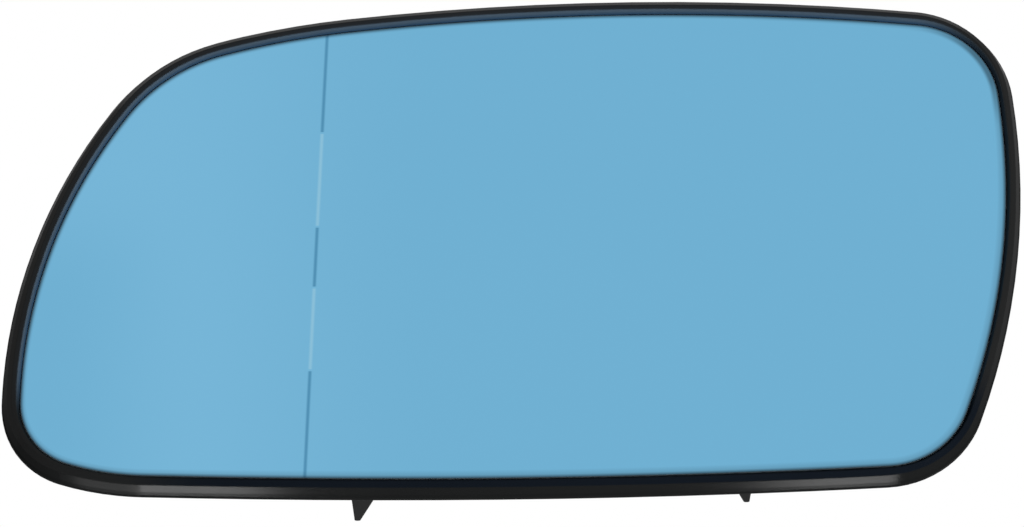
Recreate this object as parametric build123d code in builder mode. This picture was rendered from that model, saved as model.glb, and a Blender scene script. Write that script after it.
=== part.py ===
"""Car door mirror glass: a bent, tinted glass bonded into a black moulded plate.

Millimetres. X runs to the right as one looks into the glass, Z is up, and Y runs from the glass to the back.
The origin is on the axis of the claw ring, level with the land that the adjuster disc sits on.
"""
import os
from math import hypot

from build123d import *

# Outline of the rim at its widest, seen from the front: six bowed sides between six corner points.
# Width runs from the left corner to the top right one and height from the low corner to the top right one.
# The other sizes say how far each corner stays inside that box. The two short sides, from the low corner to the
# left one and from the top corner to the shoulder, leave their neighbours without a corner.
WIDTH = 184.52
HEIGHT = 96.57
TOP_RUN = 62.41
TOP_FALL = 0.89
RIGHT_LEAN = 9.99
RIGHT_RISE = 2.52
LOW_RUN = 25.8
LEFT_RISE = 7.98
SHOULDER_RUN = 26.83
SHOULDER_FALL = 8.91
TOP_BOW = 3.11
RIGHT_BOW = 7.98
LOW_BOW = 2.45
LEFT_BOW = 9.03
TOP_RIGHT_R = 19.4
LOW_RIGHT_R = 20.0
LEFT_R = 16.5
SHOULDER_R = 35.0

# Place of the claw ring's axis, from the left corner and from the low one.
AXIS_X = 100.89
AXIS_Z = 48.71

# Bend of the glass: a ball-shaped main zone, and left of the bend line a zone that bends ever harder.
MAIN_RADIUS = 1400.0
OUTER_RADIUS = 450.0
BEND_LINE_X = -43.25

# Line etched into the coated back of the glass where the harder bend starts, as dashes between breaks.
ETCH_LEAN = 4.9
ETCH_BOW = 0.15
ETCH_W = 0.45
ETCH_D = 0.12
ETCH_BREAK = 0.4
ETCH_BREAKS_Z = (22.3, 3.9, -9.1, -26.5)

# Layers from the front to the back.
GLASS_T = 2.0
PAD_T = 0.8
FLOOR_T = 2.0

# Rim section from the glass outwards: a slope up to the lip, a narrow flat, a slope down, a steep bevel
# to the widest edge, a land, and a bevel behind it.
LIP_PROUD = 1.0
LIP_INNER_W = 0.5
LIP_FLAT_W = 0.55
LIP_SLOPE_W = 0.99
LIP_SLOPE_D = 0.755
BEVEL_W = 1.03
BEVEL_D = 2.56
WIDEST_LAND = 0.98
BACK_BEVEL_W = 1.2

# The pocket sits a little off the middle of the rim, so the rim is widest at the top and at the left.
POCKET_SHIFT_X = 0.36
POCKET_SHIFT_Z = -0.37

# Play round the glass, margin of the foam pad, and the ground edge of the glass.
GLASS_PLAY = 0.1
PAD_MARGIN = 1.5
GROUND_EDGE = 0.15

# Adjuster disc that the claws hold, and the play that it has.
DISC_R = 25.0
DISC_T = 3.0
DISC_SIDE_PLAY = 0.25
DISC_TOP_PLAY = 0.2

# Land, claws, windows in front of the claws, and the collar round them.
LAND_H = 2.5
LAND_W = 4.0
LAND_MARGIN = 3.5
CLAW_COUNT = 6
CLAW_TURN = 30.0
CLAW_W = 10.0
CLAW_T = 2.2
CLAW_TIP_T = 1.0
CLAW_EDGE_R = 0.4
NOSE_REACH = 1.4
NOSE_EDGE = 0.7
NOSE_H = 3.4
WINDOW_GAP = 0.6
COLLAR_GAP = 1.3
COLLAR_T = 1.8
COLLAR_TIP_T = 1.3
COLLAR_H = 4.5

# Ribs on the back of the floor.
RIB_T = 1.4
RIB_H = 2.6
RIB_COUNT = 8
RIB_TURN = 22.5
RING_RIB_R = 62.0
EDGE_RIB_INSET = 7.0

# Prongs near the lower edge, each with one upright side and one slanted side, and a web behind it.
PRONG_BASE_X = 36.8
PRONG_BASE_W = 4.5
PRONG_TIP_X = 36.4
PRONG_TIP_W = 1.0
PRONG_TIP_Y = 9.7
PRONG_TIP_ROUND = 0.45
PRONG_T = 2.0
LEFT_PRONG_INSET = 1.05
RIGHT_PRONG_INSET = 4.75
WEB_T = 1.4
WEB_LENGTH = 7.0
WEB_H = 6.5

# Number of points of the grid that the bent sheet is laid through, and its overhang past the outline.
SHEET_COLS = 23
SHEET_ROWS = 9
SHEET_OVERHANG = 12.0
SHEET_TOLERANCE = 0.002

TOP = (TOP_RUN - AXIS_X, HEIGHT - TOP_FALL - AXIS_Z)
TOP_RIGHT = (WIDTH - AXIS_X, HEIGHT - AXIS_Z)
LOW_RIGHT = (WIDTH - RIGHT_LEAN - AXIS_X, RIGHT_RISE - AXIS_Z)
LOW = (LOW_RUN - AXIS_X, -AXIS_Z)
LEFT = (-AXIS_X, LEFT_RISE - AXIS_Z)
SHOULDER = (SHOULDER_RUN - AXIS_X, HEIGHT - SHOULDER_FALL - AXIS_Z)
SLOPE_TOP_W = BEVEL_W + LIP_SLOPE_W
RIM_W = SLOPE_TOP_W + LIP_FLAT_W + LIP_INNER_W
RIM_D = LIP_SLOPE_D + BEVEL_D
BEVEL_TOP_W = BEVEL_W * RIM_D / BEVEL_D
BACK_BEVEL_D = LIP_PROUD + GLASS_T + PAD_T + FLOOR_T - RIM_D - WIDEST_LAND
ROOT = FLOOR_T / 2
FLOOR_BACK = -LAND_H
FLOOR_FRONT = FLOOR_BACK - FLOOR_T
GLASS_BACK = FLOOR_FRONT - PAD_T
GLASS_FRONT = GLASS_BACK - GLASS_T
LIP_FRONT = GLASS_FRONT - LIP_PROUD
LAND_OUT_R = DISC_R - LAND_MARGIN
LAND_IN_R = LAND_OUT_R - LAND_W
CLAW_IN_R = DISC_R + DISC_SIDE_PLAY
CLAW_OUT_R = CLAW_IN_R + CLAW_T
NOSE_Y = DISC_T + DISC_TOP_PLAY
COLLAR_IN_R = CLAW_OUT_R + COLLAR_GAP
COLLAR_OUT_R = COLLAR_IN_R + COLLAR_T

# The outline, drawn once; every smaller outline is an inward offset of it.
with BuildSketch(Plane.XZ) as outline:
    with BuildLine():
        top = SagittaArc(TOP, TOP_RIGHT, TOP_BOW)
        SagittaArc(TOP_RIGHT, LOW_RIGHT, RIGHT_BOW)
        low = SagittaArc(LOW_RIGHT, LOW, LOW_BOW)
        TangentArc(LOW, LEFT, tangent=low % 1)
        SagittaArc(LEFT, SHOULDER, LEFT_BOW)
        TangentArc(TOP, SHOULDER, tangent=(top % 0) * -1)
    make_face()
    fillet(outline.vertices().sort_by_distance(TOP_RIGHT)[0], radius=TOP_RIGHT_R)
    fillet(outline.vertices().sort_by_distance(LOW_RIGHT)[0], radius=LOW_RIGHT_R)
    fillet(outline.vertices().sort_by_distance(LEFT)[0], radius=LEFT_R)
    fillet(outline.vertices().sort_by_distance(SHOULDER)[0], radius=SHOULDER_R)

BOX = outline.sketch.bounding_box()
REACH = BOX.size.X / 4


def inset_outline(amount):
    """The outline moved inwards by amount, redrawn with true arcs."""
    moved = offset(outline.sketch_local, amount=-amount, mode=Mode.PRIVATE)
    with BuildSketch(mode=Mode.PRIVATE) as smaller:
        with BuildLine():
            for edge in moved.edges():
                ThreePointArc(edge @ 0, edge @ 0.5, edge @ 1)
        make_face()
    return smaller.sketch_local


def bend(x, z):
    """Depth by which the glass has curved back at x, z: a ball, plus a cube law past the bend line."""
    past = max(0.0, BEND_LINE_X - x)
    rate = (1 / OUTER_RADIUS - 1 / MAIN_RADIUS) / (6 * (BEND_LINE_X - BOX.min.X))
    return (x * x + z * z) / (2 * MAIN_RADIUS) + rate * past**3


def steps(low, high, count):
    """Evenly spaced values from a little below low to a little above high."""
    start = low - SHEET_OVERHANG
    span = high - low + 2 * SHEET_OVERHANG
    return [start + span * i / (count - 1) for i in range(count)]


def bent_layer(front, back):
    """Solid between two copies of the bent sheet, with its apex from depth front to depth back."""
    columns = steps(BOX.min.X, BOX.max.X, SHEET_COLS)
    rows = steps(BOX.min.Z, BOX.max.Z, SHEET_ROWS)
    grid = [[Vector(x, front + bend(x, z), z) for z in rows] for x in columns]
    sheet = Face.make_surface_from_array_of_points(grid, tol=SHEET_TOLERANCE)
    return extrude(sheet, amount=back - front, dir=(0, 1, 0), mode=Mode.PRIVATE)


# Etched line: one thin bowed strip across the glass, broken into dashes.
with BuildPart() as etched_line:
    with BuildSketch(Plane.XZ):
        with BuildLine():
            SagittaArc(
                (BEND_LINE_X - ETCH_LEAN / 2, BOX.min.Z),
                (BEND_LINE_X + ETCH_LEAN / 2, BOX.max.Z),
                ETCH_BOW,
            )
        trace(line_width=ETCH_W)
        with Locations(*((BEND_LINE_X, z) for z in ETCH_BREAKS_Z)):
            Rectangle(ETCH_LEAN + 2 * ETCH_W, ETCH_BREAK, mode=Mode.SUBTRACT)
    extrude(amount=REACH, both=True)
    add(bent_layer(GLASS_BACK - ETCH_D, GLASS_BACK + PAD_T), mode=Mode.INTERSECT)

# Mirror glass: the bent layer inside the rim, with both edges ground off and the line etched into its back.
with BuildPart() as mirror_glass:
    with BuildSketch(Plane.XZ):
        with Locations((POCKET_SHIFT_X, POCKET_SHIFT_Z)):
            add(inset_outline(RIM_W + GLASS_PLAY))
    extrude(amount=REACH, both=True)
    add(bent_layer(GLASS_FRONT, GLASS_BACK), mode=Mode.INTERSECT)
    chamfer(mirror_glass.faces().sort_by(SortBy.AREA)[-2:].edges(), length=GROUND_EDGE)
    add(etched_line.part, mode=Mode.SUBTRACT)

# Bonding pad: thin foam between the glass and the floor of the plate.
with BuildPart() as bonding_pad:
    with BuildSketch(Plane.XZ):
        with Locations((POCKET_SHIFT_X, POCKET_SHIFT_Z)):
            add(inset_outline(RIM_W + GLASS_PLAY + PAD_MARGIN))
    extrude(amount=REACH, both=True)
    add(bent_layer(GLASS_BACK, FLOOR_FRONT), mode=Mode.INTERSECT)

# Pocket that the rim leaves open for the glass and the pad.
with BuildPart() as pocket:
    with BuildSketch(Plane.XZ):
        with Locations((POCKET_SHIFT_X, POCKET_SHIFT_Z)):
            add(inset_outline(RIM_W))
    extrude(amount=REACH, both=True)
    add(bent_layer(LIP_FRONT - REACH, FLOOR_FRONT), mode=Mode.INTERSECT)

# Ribs: spokes from the collar outwards, a ring across them, and one rib that follows the rim.
with BuildPart() as ribs:
    with BuildSketch(Plane.XZ):
        with PolarLocations(0, RIB_COUNT, RIB_TURN):
            Rectangle(BOX.size.X, RIB_T, align=(Align.MIN, Align.CENTER))
        Circle((COLLAR_IN_R + COLLAR_OUT_R) / 2, mode=Mode.SUBTRACT)
        add(Circle(RING_RIB_R, mode=Mode.PRIVATE) - Circle(RING_RIB_R - RIB_T, mode=Mode.PRIVATE))
        add(inset_outline(EDGE_RIB_INSET + RIB_T / 2), mode=Mode.INTERSECT)
        add(inset_outline(EDGE_RIB_INSET) - inset_outline(EDGE_RIB_INSET + RIB_T))
    extrude(amount=REACH, both=True)
    add(bent_layer(FLOOR_BACK - ROOT, FLOOR_BACK + RIB_H), mode=Mode.INTERSECT)

# Claws: one hooked section turned about the axis, kept only where the claws stand.
with BuildSketch(Plane.XZ) as claw_strips:
    with PolarLocations(0, CLAW_COUNT, CLAW_TURN):
        Rectangle(COLLAR_IN_R, CLAW_W, align=(Align.MIN, Align.CENTER))

with BuildPart() as claws:
    with BuildSketch(Plane.XY):
        with BuildLine():
            Polyline(
                (CLAW_IN_R, FLOOR_BACK - ROOT),
                (CLAW_IN_R, NOSE_Y),
                (CLAW_IN_R - NOSE_REACH, NOSE_Y),
                (CLAW_IN_R - NOSE_REACH, NOSE_Y + NOSE_EDGE),
                (CLAW_OUT_R - CLAW_TIP_T, NOSE_Y + NOSE_H),
                (CLAW_OUT_R, NOSE_Y + NOSE_H),
                (CLAW_OUT_R, FLOOR_BACK - ROOT),
                close=True,
            )
        make_face()
    revolve(axis=Axis.Y)
    with BuildSketch(Plane.XZ):
        add(claw_strips.sketch_local)
    extrude(amount=REACH, both=True, mode=Mode.INTERSECT)
    fillet(claws.edges().filter_by(Axis.Y), radius=CLAW_EDGE_R)

# Windows in the floor under the noses of the claws.
with BuildPart() as windows:
    with BuildSketch(Plane.XZ):
        Circle(CLAW_IN_R)
        Circle(LAND_OUT_R + WINDOW_GAP, mode=Mode.SUBTRACT)
        add(claw_strips.sketch_local, mode=Mode.INTERSECT)
    extrude(amount=-FLOOR_FRONT + PAD_T)

# Backing plate: rim and floor from one bent block, then the parts that stand on its back.
with BuildPart() as backing_plate:
    with BuildSketch(Plane.XZ):
        add(outline.sketch_local)
    extrude(amount=REACH, both=True)
    add(bent_layer(LIP_FRONT, FLOOR_BACK), mode=Mode.INTERSECT)

    # The steep bevel is cut off the front edge first and the lip slope inside it.
    # The second length down is measured along the bevel, which already leans.
    cuts = (
        (BEVEL_TOP_W, RIM_D),
        (SLOPE_TOP_W - BEVEL_TOP_W, LIP_SLOPE_D * hypot(BEVEL_W, BEVEL_D) / BEVEL_D),
    )
    for across, down in cuts:
        front_face = backing_plate.faces().sort_by(SortBy.AREA)[-2:].sort_by(Axis.Y)[0]
        chamfer(front_face.edges(), length=across, length2=down, reference=front_face)
    back_face = backing_plate.faces().sort_by(SortBy.AREA)[-2:].sort_by(Axis.Y)[-1]
    chamfer(back_face.edges(), length=BACK_BEVEL_W, length2=BACK_BEVEL_D, reference=back_face)
    add(pocket.part, mode=Mode.SUBTRACT)
    lip_face = backing_plate.faces().filter_by(lambda face: len(face.inner_wires()) > 0).sort_by(Axis.Y)[0]
    chamfer(lip_face.inner_wires()[0].edges(), length=LIP_INNER_W, length2=LIP_PROUD, reference=lip_face)
    add(ribs.part)

    # Collar and land, turned about the axis.
    with BuildSketch(Plane.XY):
        with BuildLine():
            Polyline(
                (COLLAR_IN_R, FLOOR_BACK - ROOT),
                (COLLAR_OUT_R, FLOOR_BACK - ROOT),
                (COLLAR_OUT_R - (COLLAR_T - COLLAR_TIP_T) / 2, FLOOR_BACK + COLLAR_H),
                (COLLAR_IN_R + (COLLAR_T - COLLAR_TIP_T) / 2, FLOOR_BACK + COLLAR_H),
                close=True,
            )
        make_face()
        with BuildLine():
            Polyline(
                (LAND_IN_R, FLOOR_BACK - ROOT),
                (LAND_OUT_R, FLOOR_BACK - ROOT),
                (LAND_OUT_R, 0),
                (LAND_IN_R, 0),
                close=True,
            )
        make_face()
    revolve(axis=Axis.Y)
    add(claws.part)
    add(windows.part, mode=Mode.SUBTRACT)

    # Prongs, with the upright side outwards, and the web behind each.
    for side, low_z in ((-1, BOX.min.Z + LEFT_PRONG_INSET), (1, BOX.min.Z + RIGHT_PRONG_INSET)):
        base_y = FLOOR_BACK + bend(PRONG_BASE_X, low_z) - ROOT
        with BuildSketch(Plane.XY.offset(low_z)) as prong:
            with BuildLine():
                Polyline(
                    (side * PRONG_BASE_X, base_y),
                    (side * PRONG_TIP_X, PRONG_TIP_Y),
                    (side * (PRONG_TIP_X - PRONG_TIP_W), PRONG_TIP_Y),
                    (side * (PRONG_BASE_X - PRONG_BASE_W), base_y),
                    close=True,
                )
            make_face()
            fillet(prong.vertices().group_by(Axis.Y)[-1], radius=PRONG_TIP_ROUND)
        extrude(amount=PRONG_T)
        web_x = side * (PRONG_BASE_X - PRONG_BASE_W / 2)
        with BuildSketch(Plane.YZ.offset(web_x)):
            with BuildLine():
                Polyline(
                    (base_y, low_z + PRONG_T / 2),
                    (base_y + ROOT + WEB_H, low_z + PRONG_T / 2),
                    (base_y + ROOT + WEB_H, low_z + PRONG_T),
                    (base_y, low_z + PRONG_T + WEB_LENGTH),
                    close=True,
                )
            make_face()
        extrude(amount=WEB_T / 2, both=True)

os.makedirs("parts", exist_ok=True)
mirror_glass.part.label = "mirror_glass"
export_step(mirror_glass.part, "parts/mirror_glass.step")
bonding_pad.part.label = "bonding_pad"
export_step(bonding_pad.part, "parts/bonding_pad.step")
backing_plate.part.label = "backing_plate"
export_step(backing_plate.part, "parts/backing_plate.step")
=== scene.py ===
# %% [markdown]
# # The looks of a car's door mirror glass
# The real thing is a blue-tinted mirror, bent like a very large ball, that sits in a black moulded plate. The plate
# snaps onto the adjuster in the mirror housing. The plate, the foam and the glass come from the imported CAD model.
# This lesson dresses them: it lays a finer mirror surface over the glass, gives each piece a finish of its own, and
# sets up the camera and the light of a catalogue picture.

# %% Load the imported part
import math

import bpy
import numpy as np
from mathutils import Matrix


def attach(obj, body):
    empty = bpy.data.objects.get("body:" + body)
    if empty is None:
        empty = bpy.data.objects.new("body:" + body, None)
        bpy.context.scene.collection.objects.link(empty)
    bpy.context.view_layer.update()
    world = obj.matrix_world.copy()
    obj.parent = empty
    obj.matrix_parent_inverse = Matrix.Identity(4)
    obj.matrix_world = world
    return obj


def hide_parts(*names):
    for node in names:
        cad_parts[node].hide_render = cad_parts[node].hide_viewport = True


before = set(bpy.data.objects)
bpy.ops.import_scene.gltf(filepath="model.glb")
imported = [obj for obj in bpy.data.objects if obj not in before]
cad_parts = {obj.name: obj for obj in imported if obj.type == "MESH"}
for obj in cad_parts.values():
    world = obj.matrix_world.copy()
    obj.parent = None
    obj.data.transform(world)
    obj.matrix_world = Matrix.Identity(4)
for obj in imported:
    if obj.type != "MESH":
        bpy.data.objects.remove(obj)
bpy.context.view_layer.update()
scene = bpy.context.scene
print("CAD nodes:", sorted(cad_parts))

# %% [markdown]
# ## The outline of the rim
# Seen from the front, the rim has six bowed sides. Each side is an arc given by its two corner points and its bow.
# Four corners are round, with an arc that touches both sides. At the other two, with radius 0, one side runs on into
# the next without a corner. One could read the edge from the CAD mesh, but a few arcs say the same thing with far
# fewer numbers, and an inset outline then only needs shorter radii.

# %% Arcs of the sides
MM = 0.001
CORNERS = MM * np.array(
    [(-38.48, 46.97), (83.63, 47.86), (73.64, -46.19), (-75.09, -48.71), (-100.89, -40.73), (-74.06, 38.95)]
)
BOWS = np.array([3.11, 7.98, 2.45, 1.7039, 9.03, 1.0281]) * MM


def side_arcs(corners, bows):
    """Centre and radius of each side: the circle through two neighbouring corners whose bow stands off the chord.

    With half a chord h and a bow b, the radius is (h squared plus b squared) over 2 b.
    """
    chord = np.roll(corners, -1, axis=0) - corners
    half = np.linalg.norm(chord, axis=1) / 2
    radius = (half**2 + bows**2) / (2 * bows)
    outward = np.stack([-chord[:, 1], chord[:, 0]], axis=1) / (2 * half[:, None])
    centre = corners + chord / 2 + outward * (bows - radius)[:, None]
    return centre, radius


side_centre, side_radius = side_arcs(CORNERS, BOWS)
print("side radii in mm:", np.round(side_radius / MM, 1))

# %% Arcs of the corners
CORNER_RADII = np.array([0, 19.4, 20.0, 0, 16.5, 35.0]) * MM


def corner_arcs(corners, radii, centre, radius):
    """Centre of each corner arc: the point that lies a corner radius inside both of its sides.

    That point is where two circles cross, one about each side's centre, each smaller by the corner radius. Where the
    radius is 0, it is the corner itself.
    """
    before, after = np.roll(centre, 1, axis=0), centre
    a, b = np.roll(radius, 1) - radii, radius - radii
    span = after - before
    distance = np.linalg.norm(span, axis=1)
    along = (a**2 - b**2 + distance**2) / (2 * distance)
    across = np.sqrt(np.maximum(a**2 - along**2, 0))
    unit = span / distance[:, None]
    foot = before + unit * along[:, None]
    square = np.stack([-unit[:, 1], unit[:, 0]], axis=1) * across[:, None]
    nearer = np.linalg.norm(foot + square - corners, axis=1) < np.linalg.norm(foot - square - corners, axis=1)
    crossing = np.where(nearer[:, None], foot + square, foot - square)
    return np.where(radii[:, None] > 0, crossing, corners)


corner_centre = corner_arcs(CORNERS, CORNER_RADII, side_centre, side_radius)
print("round corners:", int(np.count_nonzero(CORNER_RADII)), "of", len(CORNERS))

# %% Points along the outline
SIDE_STEPS = 48
CORNER_STEPS = 24


def facing(vector):
    """Angle of a plane vector, counted from the first axis towards the second."""
    return np.arctan2(vector[:, 1], vector[:, 0])


def arc_table():
    """Centres, radii and angles of all points of the outline, clockwise from the first corner.

    A corner turns from the facing of the side before it to the facing of the side after it, and a side turns from
    the corner before it to the corner after it, so all the arcs meet with the same tangent.
    """
    start = facing(corner_centre - np.roll(side_centre, 1, axis=0))
    end = facing(corner_centre - side_centre)
    rows = []
    for i in range(len(CORNERS)):
        following = (i + 1) % len(CORNERS)
        side_end = facing(corner_centre[following : following + 1] - side_centre[i : i + 1])[0]
        turn = -((start[i] - end[i]) % (2 * math.pi))
        swing = -((end[i] - side_end) % (2 * math.pi))
        for centre, radius, first, sweep, count in (
            (corner_centre[i], CORNER_RADII[i], start[i], turn, CORNER_STEPS),
            (side_centre[i], side_radius[i], end[i], swing, SIDE_STEPS),
        ):
            if radius > 0:
                angle = first + sweep * np.arange(count) / count
                rows.append(np.column_stack([np.tile(centre, (count, 1)), np.full(count, radius), angle]))
    return np.concatenate(rows)


ARCS = arc_table()


def outline(inset):
    """The outline moved inwards: each point is its arc's centre plus the shorter radius along its angle."""
    reach = ARCS[:, 2] - inset
    return ARCS[:, :2] + reach[:, None] * np.stack([np.cos(ARCS[:, 3]), np.sin(ARCS[:, 3])], axis=1)


rim_line = outline(0.0)
print("outline points:", len(rim_line), "size in mm:", np.round(np.ptp(rim_line, axis=0) / MM, 2))

# %% [markdown]
# ## The bent face
# The main zone of the glass is part of a ball of 1.4 m radius, so that the driver sees a wider field. Left of the
# dashed line it bends ever harder. The depth follows from two formulas: the square of the distance from the middle
# over twice the radius, and past the line a term that grows with the cube, so that the bend starts without a kink.

# %% Depth of the bent face
MAIN_RADIUS = 1400 * MM
OUTER_RADIUS = 450 * MM
BEND_LINE_X = -43.25 * MM
GLASS_FRONT = -7.3 * MM
GLASS_BACK = -5.3 * MM
CUBE_RATE = (1 / OUTER_RADIUS - 1 / MAIN_RADIUS) / (6 * (BEND_LINE_X - rim_line[:, 0].min()))


def bend(x, z):
    """Depth by which the face has curved back.

    It is (x squared plus z squared) over 2 R, plus a rate times the cube of the distance past the line.
    """
    past = np.maximum(0, BEND_LINE_X - x)
    return (x**2 + z**2) / (2 * MAIN_RADIUS) + CUBE_RATE * past**3


print("depth at the far left in mm:", round(bend(rim_line[:, 0].min(), 0.0) / MM, 2))

# %% [markdown]
# ## The mirror glass
# A mirror shows each flaw of its surface, and the CAD mesh has large triangles that would break up a reflection. The
# same glass is therefore worked out again as rings: each ring is the outline at some inset, and the rings run from
# the middle of the front, over the ground edge and the side, to the middle of the back. A plain grid cut to shape
# would leave a ragged edge, and rings give a clean one. Near the edge the rings lie close together, because the
# glass is painted darker there within about a millimetre, as painted shade and painted reflection of the dark rim.

# %% Rings on one face
POCKET_SHIFT = np.array([0.36, -0.37]) * MM
FACE_RINGS = 56
EDGE_INSETS = np.array([2.4, 1.8, 1.35, 1.0, 0.7, 0.45, 0.25, 0.1, 0.0]) * MM
POLE = np.array([-6.0, 0.0]) * MM


def glass_line(inset):
    """The outline moved inwards and then by the pocket's shift: the glass sits a little off the rim's middle."""
    return outline(inset) + POCKET_SHIFT


def on_face(flat, depth):
    """Points on a bent face: x and z stay, and y is the depth plus the bend there."""
    return np.stack([flat[..., 0], depth + bend(flat[..., 0], flat[..., 1]), flat[..., 1]], axis=-1)


def face_rings(inset, depth):
    """Rings on a bent face from the pole outwards, and how far each lies from the edge.

    Far from the edge a ring is a share of the way from the pole to the first edge ring; the edge rings are true
    insets of the outline.
    """
    near_edge = np.stack([glass_line(inset + more) for more in EDGE_INSETS])
    share = np.linspace(0, 1, FACE_RINGS + 1)[1:-1]
    far = POLE + share[:, None, None] * (near_edge[0] - POLE)
    away = np.concatenate([np.full(len(far), 2 * EDGE_INSETS[0]), EDGE_INSETS])
    return on_face(np.concatenate([far, near_edge]), depth), away


print("rings on one face:", FACE_RINGS - 1 + len(EDGE_INSETS))

# %% Rings of the whole glass
RIM_W = 3.07 * MM
GLASS_PLAY = 0.1 * MM
GROUND_EDGE = 0.15 * MM


def glass_rings():
    """All rings from the front's middle to the back's: front face, ground edge, side, ground edge, back face."""
    edge = RIM_W + GLASS_PLAY
    front, away = face_rings(edge + GROUND_EDGE, GLASS_FRONT)
    side_front = on_face(glass_line(edge), GLASS_FRONT + GROUND_EDGE)[None]
    side_back = on_face(glass_line(edge), GLASS_BACK - GROUND_EDGE)[None]
    back, _ = face_rings(edge + GROUND_EDGE, GLASS_BACK)
    rings = np.concatenate([front, side_front, side_back, back[::-1]])
    return rings, np.concatenate([away, [0.0, 0.0], away[::-1]])


rings, ring_away = glass_rings()
print("rings x points:", rings.shape[:2])

# %% [markdown]
# ## From rings to a mesh
# A grid that closes on itself has one quad between each pair of neighbours, and the last column joins the first. A
# pole is one point with a fan of triangles. The edges between the face and the ground edge are marked sharp, so that
# the reflection stops there and doesn't smear round the edge.

# %% Faces between rings
def ring_quads(count, around):
    """Corner numbers of the quads between count rings of around points each, closed in the second direction."""
    ring, step = np.meshgrid(np.arange(count - 1), np.arange(around), indexing="ij")
    here, beside = ring * around + step, ring * around + (step + 1) % around
    return np.stack([here, beside, beside + around, here + around], axis=-1).reshape(-1, 4)


def pole_fan(pole, first, around, forward):
    """Triangles between a pole and the ring that starts at first; forward says which way round they go."""
    step = np.arange(around)
    one, two = first + step, first + (step + 1) % around
    if forward:
        one, two = two, one
    return np.stack([np.full(around, pole), one, two], axis=1)


print("quads of the glass:", len(ring_quads(*rings.shape[:2])))

# %% Meshes and sharp edges
def new_mesh(name, points, faces):
    """A linked object at the origin with smooth faces."""
    mesh = bpy.data.meshes.new(name)
    mesh.from_pydata(points.tolist(), [], [face for part in faces for face in part.tolist()])
    mesh.shade_smooth()
    mesh.validate()
    made = bpy.data.objects.new(name, mesh)
    scene.collection.objects.link(made)
    print(name, "has", len(mesh.vertices), "points and", len(mesh.polygons), "faces")
    return made


def mark_sharp(mesh, ring_of_point, sharp_rings):
    """Marks each edge that runs along one of the listed rings as sharp, and says how many there are."""
    ends = np.empty(len(mesh.edges) * 2, np.int32)
    mesh.edges.foreach_get("vertices", ends)
    ring = ring_of_point[ends.reshape(-1, 2)]
    sharp = (ring[:, 0] == ring[:, 1]) & np.isin(ring[:, 0], sharp_rings)
    layer = mesh.attributes.new("sharp_edge", "BOOLEAN", "EDGE")
    layer.data.foreach_set("value", sharp)
    print("sharp edges:", int(sharp.sum()))


# %% Build the mirror glass
SHARP_RINGS = 4
around = rings.shape[1]
front_pole = on_face(POLE, GLASS_FRONT)[None]
back_pole = on_face(POLE, GLASS_BACK)[None]
points = np.concatenate([rings.reshape(-1, 3), front_pole, back_pole])
last_ring = (len(rings) - 1) * around
faces = [
    ring_quads(len(rings), around),
    pole_fan(len(points) - 2, 0, around, True),
    pole_fan(len(points) - 1, last_ring, around, False),
]
mirror = new_mesh("mirror_glass_polished", points, faces)
ring_number = np.append(np.repeat(np.arange(len(rings)), around), [-1, -2])
front_edge = FACE_RINGS + len(EDGE_INSETS) - 2
mark_sharp(mirror.data, ring_number, np.arange(front_edge, front_edge + SHARP_RINGS))

# %% [markdown]
# ## What the glass carries
# The glass is painted darker towards the edge, as painted shade from the rim, so each point of the mesh keeps its
# distance from the edge as an attribute that the finish can read. Then the piece is tied to the part: it rides on
# the body and takes the place of the CAD glass.

# %% Edge distance and place in the part
edge_distance = mirror.data.attributes.new("edge_distance", "FLOAT", "POINT")
edge_distance.data.foreach_set("value", np.append(np.repeat(ring_away, around), [ring_away.max()] * 2))
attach(mirror, "root")
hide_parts("mirror_glass")
print("edge distances in mm:", np.round(np.unique(ring_away) / MM, 2))

# %% [markdown]
# ## Node helpers
# A finish is a small network of nodes. These helpers add a node, fill in its inputs and join it to others in one
# line, so that a finish reads like a recipe. The ramp is used most: it turns a distance or a height into a mask.

# %% Add nodes
def add_node(tree, kind, inputs=None, **settings):
    """A node of that kind with its settings, and its inputs given as numbers or as other nodes' outputs."""
    made = tree.nodes.new(kind)
    for key, value in settings.items():
        setattr(made, key, value)
    for key, value in (inputs or {}).items():
        if isinstance(value, bpy.types.NodeSocket):
            tree.links.new(value, made.inputs[key])
        else:
            made.inputs[key].default_value = value
    return made


def math_node(tree, operation, *values, clamp=False):
    """The output of a Math node on up to three values."""
    inputs = dict(enumerate(values))
    return add_node(tree, "ShaderNodeMath", inputs, operation=operation, use_clamp=clamp).outputs[0]


def mix_colour(tree, factor, first, second):
    """The output of a colour mix: first where factor is 0, second where it is 1."""
    return add_node(tree, "ShaderNodeMix", {0: factor, 6: first, 7: second}, data_type="RGBA").outputs[2]


def ramp(tree, value, start, end, low=0.0, high=1.0, shape="SMOOTHSTEP"):
    """The output of a Map Range: low up to start, high from end on, and a smooth or LINEAR passage in between."""
    inputs = {"Value": value, "From Min": start, "From Max": end, "To Min": low, "To Max": high}
    return add_node(tree, "ShaderNodeMapRange", inputs, interpolation_type=shape).outputs[0]


print("helpers:", [helper.__name__ for helper in (add_node, math_node, mix_colour, ramp)])

# %% Directions and masks
def axes_of(tree, vector):
    """The x, y and z of a vector."""
    return tuple(add_node(tree, "ShaderNodeSeparateXYZ", {"Vector": vector}).outputs)


def dot(tree, first, second):
    """How far two directions agree: 1 if they are the same, 0 if they are square, and -1 if they are opposed."""
    return add_node(tree, "ShaderNodeVectorMath", {0: first, 1: second}, operation="DOT_PRODUCT").outputs["Value"]


def opposite(tree, mask):
    """The mask turned round: 1 less its value."""
    return math_node(tree, "SUBTRACT", 1.0, mask)


print("helpers:", [helper.__name__ for helper in (axes_of, dot, opposite)])

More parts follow.
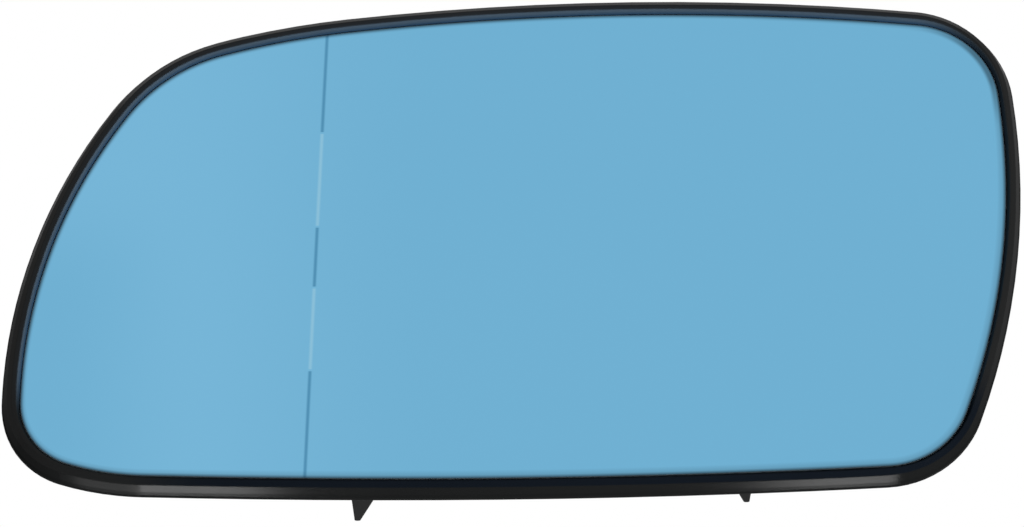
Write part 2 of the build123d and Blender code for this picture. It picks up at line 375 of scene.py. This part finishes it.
# %% Textures
def noise(tree, place, scale, detail=2.0, roughness=0.5):
    """The output of a Noise texture: a cloudy value that changes faster the larger the scale is."""
    inputs = {"Vector": place, "Scale": scale, "Detail": detail, "Roughness": roughness}
    return add_node(tree, "ShaderNodeTexNoise", inputs).outputs[0]


def cells(tree, place, scale):
    """The outputs of a Voronoi texture: the distance from the middle of the nearest cell, and a colour per cell."""
    return add_node(tree, "ShaderNodeTexVoronoi", {"Vector": place, "Scale": scale}).outputs


print("helpers:", [helper.__name__ for helper in (noise, cells)])

# %% Groups and materials
FLOAT, VECTOR = "NodeSocketFloat", "NodeSocketVector"
POSITION = ("Position", VECTOR, (0, 0, 0))


def new_group(name, inputs, outputs):
    """An empty node group with named sockets, and what it is given and what it is to put out, seen from inside."""
    group = bpy.data.node_groups.new(name, "ShaderNodeTree")
    for label, kind, value in inputs:
        group.interface.new_socket(label, in_out="INPUT", socket_type=kind).default_value = value
    for label in outputs:
        group.interface.new_socket(label, in_out="OUTPUT", socket_type=FLOAT)
    return group, group.nodes.new("NodeGroupInput").outputs, group.nodes.new("NodeGroupOutput").inputs


def use_group(tree, group, inputs):
    """The outputs of that group, placed in a material as a node with its inputs filled in."""
    return add_node(tree, "ShaderNodeGroup", inputs, node_tree=group).outputs


def new_material(name):
    """A material with its tree, its Principled shader and the object's own coordinates."""
    made = bpy.data.materials.new(name)
    made.use_nodes = True
    tree = made.node_tree
    place = tree.nodes.new("ShaderNodeTexCoord").outputs["Object"]
    return made, tree, tree.nodes["Principled BSDF"], place


print("helpers:", [helper.__name__ for helper in (new_group, use_group, new_material)])

# %% [markdown]
# ## Smudges and dust
# Nothing that was handled is evenly glossy. A wide, slow noise makes faint smudges, and a fine one makes specks of
# dust. Both are masks that each finish uses in its own strength, so they are one shared group.

# %% Handling marks group
SMUDGE_SPAN = 0.42, 0.72
SPECK_SPAN = 0.10, 0.04
SPECK_RARITY = 0.93

handling, given, wanted = new_group(
    "handling_marks", [POSITION, ("Smudge Size", FLOAT, 40.0), ("Speck Size", FLOAT, 900.0)], ["Smudges", "Specks"]
)
cloud = noise(handling, given["Position"], given["Smudge Size"], detail=4.0, roughness=0.6)
handling.links.new(ramp(handling, cloud, *SMUDGE_SPAN), wanted["Smudges"])
dust = cells(handling, given["Position"], given["Speck Size"])
chance = add_node(handling, "ShaderNodeSeparateColor", {"Color": dust["Color"]}).outputs[0]
rare = math_node(handling, "GREATER_THAN", chance, SPECK_RARITY)
speck = math_node(handling, "MULTIPLY", ramp(handling, dust["Distance"], *SPECK_SPAN), rare)
handling.links.new(speck, wanted["Specks"])
print("group:", handling.name, "with", len(handling.nodes), "nodes")

# %% [markdown]
# ## The dashed line
# A thin line marks where the glass bends harder. On the real glass it is etched into the coating in dashes: dark
# ones, where the black plate shows through, and pale ones between them. It could be modelled as strips, but it has
# hardly any depth, so it is a mask: the distance from a leaning line, and the height above the middle for the dashes.

# %% Dashed line group
LINE_LEAN = 0.0354
LINE_X = -43.57 * MM
LINE_HALF_W = 0.28 * MM
LINE_SOFT = 0.24 * MM

dashes, given, wanted = new_group("dashed_line", [POSITION], ["Dark", "Pale"])
x, _, z = axes_of(dashes, given["Position"])
line_x = math_node(dashes, "MULTIPLY_ADD", z, LINE_LEAN, LINE_X)
away = math_node(dashes, "ABSOLUTE", math_node(dashes, "SUBTRACT", x, line_x))
on_line = ramp(dashes, away, LINE_HALF_W + LINE_SOFT, LINE_HALF_W - LINE_SOFT)
print("group:", dashes.name)

# %% Dashes along the line
DASH_ENDS_MM = [60.0, 22.3, 3.1, -9.2, -25.7, -60.0]
GAP_HALF = 0.2 * MM


def dash(high, low):
    """1 between two heights in mm, less half a gap at either end, and 0 elsewhere."""
    above = math_node(dashes, "GREATER_THAN", z, low * MM + GAP_HALF)
    return math_node(dashes, "MULTIPLY", above, math_node(dashes, "LESS_THAN", z, high * MM - GAP_HALF))


strokes = [dash(high, low) for high, low in zip(DASH_ENDS_MM, DASH_ENDS_MM[1:])]
dark = math_node(dashes, "ADD", math_node(dashes, "ADD", strokes[0], strokes[2]), strokes[4])
pale = math_node(dashes, "ADD", strokes[1], strokes[3])
dashes.links.new(math_node(dashes, "MULTIPLY", dark, on_line), wanted["Dark"])
dashes.links.new(math_node(dashes, "MULTIPLY", pale, on_line), wanted["Pale"])
print("dashes:", len(strokes))

# %% [markdown]
# ## The blue coating
# A tinted mirror is a thin metal layer that returns blue light best, so its colour is the metal's own colour. The
# tint of such a coating is never quite even: it is a little paler in the zone that bends hard, but not in its lower
# corner. It could be painted on a picture map, but ramps along the width and the height stay smooth at any size.

# %% Tint of the coating
BLUE = (0.158, 0.430, 0.640, 1)
PALE_BLUE = (0.188, 0.472, 0.690, 1)
DASH_DARK = (0.082, 0.276, 0.448, 1)
DASH_PALE = (0.254, 0.522, 0.690, 1)
PALE_X = -20 * MM, -75 * MM
CORNER_X = -62 * MM, -95 * MM
CORNER_Z = 16 * MM, -10 * MM
PALE_SHARE = 0.75
DRIFT_SHARE = 0.25
DRIFT_SCALE = 9.0

coating, tree, shader, place = new_material("blue_mirror_coating")
x, _, z = axes_of(tree, place)
corner = math_node(tree, "MULTIPLY", ramp(tree, x, *CORNER_X), ramp(tree, z, *CORNER_Z))
leftward = math_node(tree, "SUBTRACT", ramp(tree, x, *PALE_X), corner, clamp=True)
drift = math_node(tree, "MULTIPLY", noise(tree, place, DRIFT_SCALE), DRIFT_SHARE)
uneven = math_node(tree, "MULTIPLY_ADD", leftward, PALE_SHARE, drift, clamp=True)
tint = mix_colour(tree, uneven, BLUE, PALE_BLUE)
lines = use_group(tree, dashes, {"Position": place})
tint = mix_colour(tree, lines["Dark"], tint, DASH_DARK)
tint = mix_colour(tree, lines["Pale"], tint, DASH_PALE)
print("finish:", coating.name)

# %% [markdown]
# ## The painted shade along the rim
# Towards the rim the glass is painted darker, a painted shade and painted reflection of the dark rim, over a wider
# strip along the lower and the right side than along the others. In the upper right corner the strip is a stronger
# painted reflection of the rim beside it, so it is darker and wider there. The distance from the edge, which the mesh
# carries, makes all of it without a second piece.

# %% Painted shade towards the rim
RIM_SHADE_DARK = (0.012, 0.012, 0.014, 1)
HALF_W, HALF_H = 95 * MM, 48 * MM
SIDE_SPAN = -0.6, 0.6
STRIP_W = 0.9 * MM, 1.6 * MM
NEAR_W, NEAR_SHARE = 0.6 * MM, 0.5
WIDE_SHARE = 0.38

edge = add_node(tree, "ShaderNodeAttribute", attribute_name="edge_distance").outputs["Fac"]
low_right = math_node(tree, "MULTIPLY_ADD", x, 1 / HALF_W, math_node(tree, "DIVIDE", z, -HALF_H))
strip = ramp(tree, low_right, *SIDE_SPAN, *STRIP_W, "LINEAR")
near = ramp(tree, edge, 0.0, NEAR_W, NEAR_SHARE, 0.0, "LINEAR")
wide = ramp(tree, edge, 0.0, strip, WIDE_SHARE, 0.0, "LINEAR")
# Painted shade and painted reflection of the dark rim: the glass colour is darkened towards its edge.
rim_shade = math_node(tree, "ADD", near, wide)
print("strip in mm:", [round(width / MM, 1) for width in STRIP_W])

# %% Painted reflection in the upper right corner
RIM_REFLECTION_SPAN = 1.55 * MM, 0.6 * MM
RIM_REFLECTION_SHARE = 0.64
FAR_RIGHT_X = 66 * MM, 79 * MM
HIGH_Z = 21 * MM, 34 * MM

far_right = ramp(tree, x, *FAR_RIGHT_X, shape="LINEAR")
top_right = math_node(tree, "MULTIPLY", far_right, ramp(tree, z, *HIGH_Z, shape="LINEAR"))
# Painted reflection of the rim in the glass, in the upper right corner.
rim_reflection = ramp(tree, edge, *RIM_REFLECTION_SPAN, 0.0, RIM_REFLECTION_SHARE)
rim_shade = math_node(tree, "MAXIMUM", rim_shade, math_node(tree, "MULTIPLY", rim_reflection, top_right))
tint = mix_colour(tree, rim_shade, tint, RIM_SHADE_DARK)
print("widest in mm:", round(RIM_REFLECTION_SPAN[0] / MM, 2))

# %% [markdown]
# ## Ground edge and gloss of the glass
# The edge of the glass is ground after cutting, so it has no coating and is matt and grey. On the face, smudges and
# dust change how sharp the reflection is. Both only need the roughness, so no extra layer is laid over the glass.

# %% Gloss of the glass
GROUND_GREY = (0.300, 0.370, 0.410, 1)
GROUND_LIMIT = 0.005 * MM
MIRROR_ROUGH = 0.02
SMUDGE_ROUGH = 0.03
SPECK_ROUGH = 0.10
GROUND_ROUGH = 0.55

ground = math_node(tree, "LESS_THAN", edge, GROUND_LIMIT)
tree.links.new(mix_colour(tree, ground, tint, GROUND_GREY), shader.inputs["Base Color"])
marks = use_group(tree, handling, {"Position": place, "Smudge Size": 22.0, "Speck Size": 700.0})
rough = math_node(tree, "MULTIPLY_ADD", marks["Smudges"], SMUDGE_ROUGH, MIRROR_ROUGH)
rough = math_node(tree, "MULTIPLY_ADD", marks["Specks"], SPECK_ROUGH, rough)
tree.links.new(math_node(tree, "MULTIPLY_ADD", ground, GROUND_ROUGH, rough), shader.inputs["Roughness"])
shader.inputs["Metallic"].default_value = 1.0
mirror.data.materials.append(coating)
print("nodes of the coating:", len(tree.nodes))

# %% [markdown]
# ## Grain of the moulding
# The plate is moulded in black plastic. The mould was spark-eroded, which leaves a fine even grain of about a
# quarter of a millimetre. The grain is two noises, one fine and one coarser, used as the height of a bump.

# %% Moulded grain group
COARSE_SHARE = 0.4

grain, given, wanted = new_group(
    "moulded_grain", [POSITION, ("Fine Size", FLOAT, 4200.0), ("Coarse Size", FLOAT, 260.0)], ["Height", "Flow"]
)
fine = noise(grain, given["Position"], given["Fine Size"], detail=3.0)
coarse = noise(grain, given["Position"], given["Coarse Size"])
grain.links.new(math_node(grain, "MULTIPLY_ADD", coarse, COARSE_SHARE, fine), wanted["Height"])
grain.links.new(coarse, wanted["Flow"])
print("group:", grain.name)

# %% [markdown]
# ## Zones of the rim
# The front of the rim was moulded against polished steel, and its sides and back against the grained mould. All zones
# follow from the place: the depth behind the bent front, the height, the width, and which way the surface faces.
# Painting them by hand would need a map of the mesh. The depth is the same formula as for the glass, in nodes.

# %% Depth behind the bent front
zones, given, wanted = new_group(
    "rim_zones",
    [POSITION, ("Normal", VECTOR, (0, 0, 1))],
    ["Front", "Bevel", "Lip", "Low Lip", "Lit Slope", "Near Glass", "Shaded Underside"],
)
x, y, z = axes_of(zones, given["Position"])
square = math_node(zones, "MULTIPLY_ADD", x, x, math_node(zones, "MULTIPLY", z, z))
past = math_node(zones, "MAXIMUM", math_node(zones, "SUBTRACT", BEND_LINE_X, x), 0.0)
cube = math_node(zones, "MULTIPLY", math_node(zones, "POWER", past, 3.0), CUBE_RATE)
depth = math_node(zones, "SUBTRACT", y, math_node(zones, "MULTIPLY_ADD", square, 0.5 / MAIN_RADIUS, cube))
print("group:", zones.name)

# %% Zones by depth
LIP_FRONT = -8.3 * MM
LIP_PROUD = 1.0 * MM
BEVEL_END = 2.5 * MM
FRONT_END = 4.3 * MM
ZONE_SOFT = 0.12 * MM
NEAR_GLASS_FROM = 0.3


def zone_until(end):
    """A mask that is 1 from the lip's front down to that depth behind it, with a soft border."""
    return ramp(zones, depth, LIP_FRONT + end + ZONE_SOFT, LIP_FRONT + end - ZONE_SOFT)


front = zone_until(FRONT_END)
zones.links.new(front, wanted["Front"])
zones.links.new(zone_until(BEVEL_END), wanted["Bevel"])
sunk = ramp(zones, depth, LIP_FRONT + NEAR_GLASS_FROM * LIP_PROUD, LIP_FRONT + LIP_PROUD, shape="LINEAR")
zones.links.new(sunk, wanted["Near Glass"])
print("front zone in mm:", round(FRONT_END / MM, 1))

# %% Zones by facing
INWARD_SPAN = 0.2, -0.6
DOWN_SPAN = -0.25, -0.7

from_pole = math_node(zones, "SUBTRACT", x, float(POLE[0]))
outward = add_node(zones, "ShaderNodeCombineXYZ", {"X": from_pole, "Z": z}).outputs[0]
outward = add_node(zones, "ShaderNodeVectorMath", {0: outward}, operation="NORMALIZE").outputs[0]
inward = ramp(zones, dot(zones, outward, given["Normal"]), *INWARD_SPAN)
inner = math_node(zones, "MULTIPLY", inward, zone_until(LIP_PROUD + 2 * ZONE_SOFT))
# Painted shade: surfaces that face down, behind the front, are painted a deeper black in the plate's colour.
down = ramp(zones, axes_of(zones, given["Normal"])[2], *DOWN_SPAN)
zones.links.new(math_node(zones, "MULTIPLY", down, opposite(zones, front)), wanted["Shaded Underside"])
print("nodes so far:", len(zones.nodes))

# %% [markdown]
# ## The lit slope and the lip
# The slope next to the glass is painted paler along the top and the left, and only a little at the right end. This is
# painted light, where the light from the lower right falls on it, and close to the glass it is bluer, a painted
# reflection of the glass. What isn't painted so is the lip. Its lower run, right of the lower left corner, is a zone
# of its own, painted navy as a painted reflection of the blue glass above it.

# %% Painted light on the slope, and the lip
LIP_SLOPE_D = 0.755 * MM
UPPER_Z = -34 * MM, -24 * MM
RIGHT_END_X = 82 * MM, 68 * MM
RIGHT_END_SHARE = 0.25
LOW_LIP_X = -82 * MM, -62 * MM

# Painted light: the inner slope is painted paler along the top and the left, where the lower right light falls on it.
upper = ramp(zones, z, *UPPER_Z)
lit_slope = math_node(zones, "MULTIPLY", upper, ramp(zones, x, *RIGHT_END_X, RIGHT_END_SHARE))
lit_slope = math_node(zones, "MULTIPLY", inner, lit_slope)
zones.links.new(lit_slope, wanted["Lit Slope"])
lip = math_node(zones, "MAXIMUM", zone_until(LIP_SLOPE_D), inner)
lip = math_node(zones, "MULTIPLY", lip, opposite(zones, lit_slope))
# The lip's lower run gets a painted reflection of the blue glass above it, as a navy tint.
low = math_node(zones, "MULTIPLY", opposite(zones, upper), ramp(zones, x, *LOW_LIP_X))
zones.links.new(math_node(zones, "MULTIPLY", lip, low), wanted["Low Lip"])
zones.links.new(math_node(zones, "MULTIPLY", lip, opposite(zones, low)), wanted["Lip"])
print("nodes of the zones:", len(zones.nodes))

# %% [markdown]
# ## The colour of the moulding
# Black plastic has almost no colour of its own. Grain scatters light, so the back is a less deep black than the
# polished front. Undersides are painted between the two, a deeper black than the back: a painted shade on what faces
# down. Edges of ribs and claws are painted greyer, partly wear and partly a painted highlight along the edges, and
# the painted light on the slope takes on the blue of the glass close to it as a painted reflection. A Bevel node
# rounds the edges in the shading by less than half a millimetre, as every moulded edge is; rounding them in the mesh
# would take many more faces. Where the rounded direction turns away from the flat one, there is an edge.

# %% Colour of the plate
BLACK = (0.0062, 0.0066, 0.0067, 1)
GRAINED_BLACK = (0.0290, 0.0295, 0.0292, 1)
WORN_BLACK = (0.0360, 0.0366, 0.0362, 1)
EDGE_WEAR_AND_HIGHLIGHT_GREY = (0.0800, 0.0810, 0.0800, 1)
UNDERSIDE_SHADE_BLACK = (0.0138, 0.0141, 0.0140, 1)
LIT_SLOPE_GREY = (0.049, 0.074, 0.102, 1)
GLASS_REFLECTION_BLUE = (0.016, 0.044, 0.085, 1)
LIP_GLASS_REFLECTION_NAVY = (0.0030, 0.0050, 0.0084, 1)
ROUNDING = 0.4 * MM
ROUNDING_SAMPLES = 6
EDGE_SPAN = 0.985, 0.82
EDGE_SHARE = 0.7

moulding, tree, shader, place = new_material("black_satin_moulding")
rounded = add_node(tree, "ShaderNodeBevel", {"Radius": ROUNDING}, samples=ROUNDING_SAMPLES).outputs[0]
flat = tree.nodes.new("ShaderNodeNewGeometry").outputs["True Normal"]
# Edges are painted greyer: partly wear, and partly a painted highlight along the edges.
edges = ramp(tree, dot(tree, rounded, flat), *EDGE_SPAN, 0.0, EDGE_SHARE, "LINEAR")
marks = use_group(tree, handling, {"Position": place, "Smudge Size": 55.0, "Speck Size": 800.0})
zone = use_group(tree, zones, {"Position": place, "Normal": rounded})
tone = mix_colour(tree, marks["Smudges"], GRAINED_BLACK, WORN_BLACK)
tone = mix_colour(tree, edges, tone, EDGE_WEAR_AND_HIGHLIGHT_GREY)
# The underside colour is painted shade, and the low lip's navy is a painted reflection of the blue glass; the front's
# black is its own.
for label, colour in (("Shaded Underside", UNDERSIDE_SHADE_BLACK), ("Front", BLACK), ("Low Lip", LIP_GLASS_REFLECTION_NAVY)):
    tone = mix_colour(tree, zone[label], tone, colour)
# Painted light on the slope, turning bluer near the glass as a painted reflection of the glass.
painted_slope_light = mix_colour(tree, zone["Near Glass"], LIT_SLOPE_GREY, GLASS_REFLECTION_BLUE)
tree.links.new(mix_colour(tree, zone["Lit Slope"], tone, painted_slope_light), shader.inputs["Base Color"])
print("finish:", moulding.name)

# %% [markdown]
# ## The gloss of the moulding
# What one sees of black plastic is mostly gloss. A plain gloss would turn white where one looks along a surface, so
# it is a thin coat instead, whose weight sets how much of it there is at every angle: most on the broad satin faces
# of the back and on the lip, less on the bevel, and least on undersides, on the rest of the front and under smudges.
# It starts from the weight on the back, and each zone then adds to it or takes from it.

# %% Gloss of the plate
BACK_COAT = 0.22
FRONT_CHANGE = -0.185
BEVEL_CHANGE = 0.03
LIP_CHANGE = 0.15
SMUDGE_CHANGE = -0.01
COAT_ROUGH = 0.15

smooth = math_node(tree, "MAXIMUM", zone["Front"], zone["Shaded Underside"])
coat = BACK_COAT
for mask, change in (
    (smooth, FRONT_CHANGE),
    (zone["Bevel"], BEVEL_CHANGE),
    (zone["Lip"], LIP_CHANGE),
    (marks["Smudges"], SMUDGE_CHANGE),
):
    coat = math_node(tree, "MULTIPLY_ADD", mask, change, coat)
tree.links.new(coat, shader.inputs["Coat Weight"])
tree.links.new(rounded, shader.inputs["Coat Normal"])
shader.inputs["Specular IOR Level"].default_value = 0.0
shader.inputs["Coat Roughness"].default_value = COAT_ROUGH
print("coat on the back:", BACK_COAT)

# %% [markdown]
# ## The grain on the plate
# The grain is far too fine to be modelled, so it only tilts the surface's direction in the shading. On the polished
# front most of it is taken away. The slow part of the grain also makes the plastic a little rougher in places. The
# coat above keeps the smooth direction, because its gleams are wide and even on such plates.

# %% Grain of the plate
PLAIN_ROUGH = 0.55
FLOW_ROUGH = 0.12
FRONT_SMOOTHED = -0.8
GRAIN_STRENGTH = 0.15
GRAIN_HEIGHT = 0.05 * MM

texture = use_group(tree, grain, {"Position": place})
rough = math_node(tree, "MULTIPLY_ADD", texture["Flow"], FLOW_ROUGH, PLAIN_ROUGH)
tree.links.new(rough, shader.inputs["Roughness"])
relief = math_node(tree, "MULTIPLY_ADD", zone["Front"], FRONT_SMOOTHED, 1.0)
relief = math_node(tree, "MULTIPLY", texture["Height"], relief)
grained = {"Height": relief, "Strength": GRAIN_STRENGTH, "Distance": GRAIN_HEIGHT, "Normal": rounded}
tree.links.new(add_node(tree, "ShaderNodeBump", grained).outputs[0], shader.inputs["Normal"])
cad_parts["backing_plate"].data.materials[0] = moulding
print("nodes of the moulding:", len(tree.nodes))

# %% [markdown]
# ## The foam pad
# Between the glass and the plate lies a thin foam pad. It only shows through the windows behind the claws, where one
# sees its cut cells: small round pits with paler walls, the pits painted darker as painted shade. Modelled pits would
# be far too many, so a cell texture gives both the colour and the bump.

# %% Foam finish
FOAM_PIT_SHADE_AND_SMUDGE = (0.080, 0.080, 0.078, 1)
FOAM_WALL = (0.230, 0.230, 0.222, 1)
CELL_SCALE = 1600.0
WALL_SPAN = 0.1, 0.7
FOAM_SMUDGE = 0.3
PIT_STRENGTH = 0.5
PIT_DEPTH = 0.2 * MM
FOAM_ROUGH = 0.85

foam, tree, shader, place = new_material("closed_cell_foam")
# The pits are painted darker than their walls, as painted shade; smudges darken towards the same colour.
wall = ramp(tree, cells(tree, place, CELL_SCALE)["Distance"], *WALL_SPAN, shape="LINEAR")
marks = use_group(tree, handling, {"Position": place, "Smudge Size": 90.0, "Speck Size": 900.0})
smudged = math_node(tree, "MULTIPLY", marks["Smudges"], FOAM_SMUDGE)
shade = mix_colour(tree, smudged, mix_colour(tree, wall, FOAM_PIT_SHADE_AND_SMUDGE, FOAM_WALL), FOAM_PIT_SHADE_AND_SMUDGE)
tree.links.new(shade, shader.inputs["Base Color"])
bump = add_node(tree, "ShaderNodeBump", {"Height": wall, "Strength": PIT_STRENGTH, "Distance": PIT_DEPTH})
tree.links.new(bump.outputs[0], shader.inputs["Normal"])
shader.inputs["Roughness"].default_value = FOAM_ROUGH
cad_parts["bonding_pad"].data.materials[0] = foam
print("finish:", foam.name)

# %% [markdown]
# ## The floor and the white room
# The picture shows the part free on white, seen from a little below. The floor lies far below it, so that the camera
# can look up. Where it is seen directly it is mixed with white, so that it stays pale from every side and still
# keeps some shadow. The room is white where the camera, a reflection or a clear piece looks at it, and softer where
# it only lights the object.

# %% Floor
FLOOR_Z = -0.75
FLOOR_HALF = 6.0
FLOOR_GREY = (0.83, 0.83, 0.83, 1)
FLOOR_PALE = (0.86, 0.86, 0.86, 1)
MOTTLE_SCALE = 3.0
FLOOR_ROUGH = 0.9

floor_points = np.array([(-1, -1, 0), (1, -1, 0), (1, 1, 0), (-1, 1, 0)]) * FLOOR_HALF
floor_points += np.array([0, 0, FLOOR_Z])
floor = new_mesh("floor", floor_points, [np.array([[0, 1, 2, 3]])])
floor_finish, tree, shader, place = new_material("pale_floor")
mottled = mix_colour(tree, noise(tree, place, MOTTLE_SCALE), FLOOR_GREY, FLOOR_PALE)
tree.links.new(mottled, shader.inputs["Base Color"])
shader.inputs["Roughness"].default_value = FLOOR_ROUGH
floor.data.materials.append(floor_finish)

# %% Floor where it is seen
WHITE = (1, 1, 1, 1)
FLOOR_WHITE = 0.72


def seen_directly(tree):
    """1 for a ray from the camera, from a reflection or through a clear piece, 0 for one that only carries light."""
    path = tree.nodes.new("ShaderNodeLightPath")
    seen = math_node(tree, "MAXIMUM", path.outputs["Is Camera Ray"], path.outputs["Is Glossy Ray"])
    return math_node(tree, "MAXIMUM", seen, path.outputs["Is Transmission Ray"])


white = add_node(tree, "ShaderNodeEmission", {"Color": WHITE, "Strength": 1.0}).outputs[0]
share = math_node(tree, "MULTIPLY", seen_directly(tree), FLOOR_WHITE)
paler = add_node(tree, "ShaderNodeMixShader", {0: share, 1: shader.outputs[0], 2: white}).outputs[0]
tree.links.new(paler, tree.nodes["Material Output"].inputs["Surface"])
print("share of white:", FLOOR_WHITE)

# %% White room
ROOM_LIGHT = 0.22

world = bpy.data.worlds.new("white_room")
scene.world = world
world.use_nodes = True
tree = world.node_tree
tree.nodes.clear()
strength = math_node(tree, "MULTIPLY_ADD", seen_directly(tree), 1.0 - ROOM_LIGHT, ROOM_LIGHT)
room = add_node(tree, "ShaderNodeBackground", {"Color": WHITE, "Strength": strength}).outputs[0]
tree.links.new(room, add_node(tree, "ShaderNodeOutputWorld").inputs["Surface"])
print("room light:", ROOM_LIGHT)

# %% [markdown]
# ## Soft lamps
# A wide lamp low in front on the right lights the slopes that face it: the inner slope of the rim at the left and at
# the top. It is hidden from reflections, so that it lights the slopes and leaves no bright patch on the lip. One
# large lamp above and one behind shape the ribs. Three small ones stand low behind: the left and the right one are
# mirrored as two grey gleams in the lower bevel of the rim, and the third carries the left gleam on to the corner.

# %% Lamp helper
def soft_lamp(name, place, target, size, watts):
    """A rectangular lamp at place that faces target; the camera doesn't see it."""
    data = bpy.data.lights.new(name, "AREA")
    data.shape = "RECTANGLE"
    data.size, data.size_y = size
    data.energy = watts
    made = bpy.data.objects.new(name, data)
    scene.collection.objects.link(made)
    place = np.array(place, float)
    back = place - np.array(target, float)
    back /= np.linalg.norm(back)
    side = np.cross((0.0, 0.0, 1.0), back)
    side /= np.linalg.norm(side)
    turn = np.stack([side, np.cross(back, side), back, place], axis=1)
    made.matrix_world = Matrix([*turn.tolist(), [0, 0, 0, 1]])
    made.visible_camera = False
    print(name, "with", watts, "W")
    return made


# %% Lamps
MIDDLE = (0, 0, 0)

key = soft_lamp("lamp_right", (0.62, -0.62, -0.48), MIDDLE, (0.5, 0.5), 10.5)
key.visible_glossy = False
for lamp in (
    ("lamp_above", (-0.2, 0.7, 1.3), MIDDLE, (2.0, 1.4), 14.0),
    ("lamp_behind", (0.3, 1.5, 0.5), MIDDLE, (2.4, 2.0), 18.0),
    ("lamp_low_left", (-0.110, 0.143, -0.363), (-0.066, -0.004, -0.0485), (0.052, 0.03), 0.25),
    ("lamp_low_corner", (-0.187, 0.1475, -0.345), (-0.082, -0.003, -0.0475), (0.13, 0.09), 0.33),
    ("lamp_low_right", (0.118, 0.151, -0.357), (0.051, -0.005, -0.047), (0.09, 0.03), 0.35),
):
    soft_lamp(*lamp)

# %% [markdown]
# ## The camera
# The rim shows its lower side and the inner wall of its upper lip, so the picture was taken from 24 degrees below,
# from some way off. The place, the lens and the aim follow from the rim's outline in the picture.

# %% Camera
TILT = math.radians(24)
CAMERA_DISTANCE = 1.3
AIM = np.array([-7.407, -5.433, -3.837]) * MM
IMAGE_W = 1024
PART_W_MM = 188
PART_W_PIXELS = 1016.5
SENSOR = 36.0

look = np.array([0, math.cos(TILT), math.sin(TILT)])
up = np.array([0, -math.sin(TILT), math.cos(TILT)])
camera_data = bpy.data.cameras.new("camera")
camera_data.sensor_width = SENSOR
camera_data.lens = SENSOR * CAMERA_DISTANCE / MM / (PART_W_MM / PART_W_PIXELS) / IMAGE_W
camera = bpy.data.objects.new("camera", camera_data)
scene.collection.objects.link(camera)
columns = np.stack([np.array([1.0, 0, 0]), up, -look, AIM - look * CAMERA_DISTANCE], axis=1)
camera.matrix_world = Matrix([*columns.tolist(), [0, 0, 0, 1]])
scene.camera = camera
scene.view_settings.view_transform = "Standard"
print("lens in mm:", round(camera_data.lens, 1))
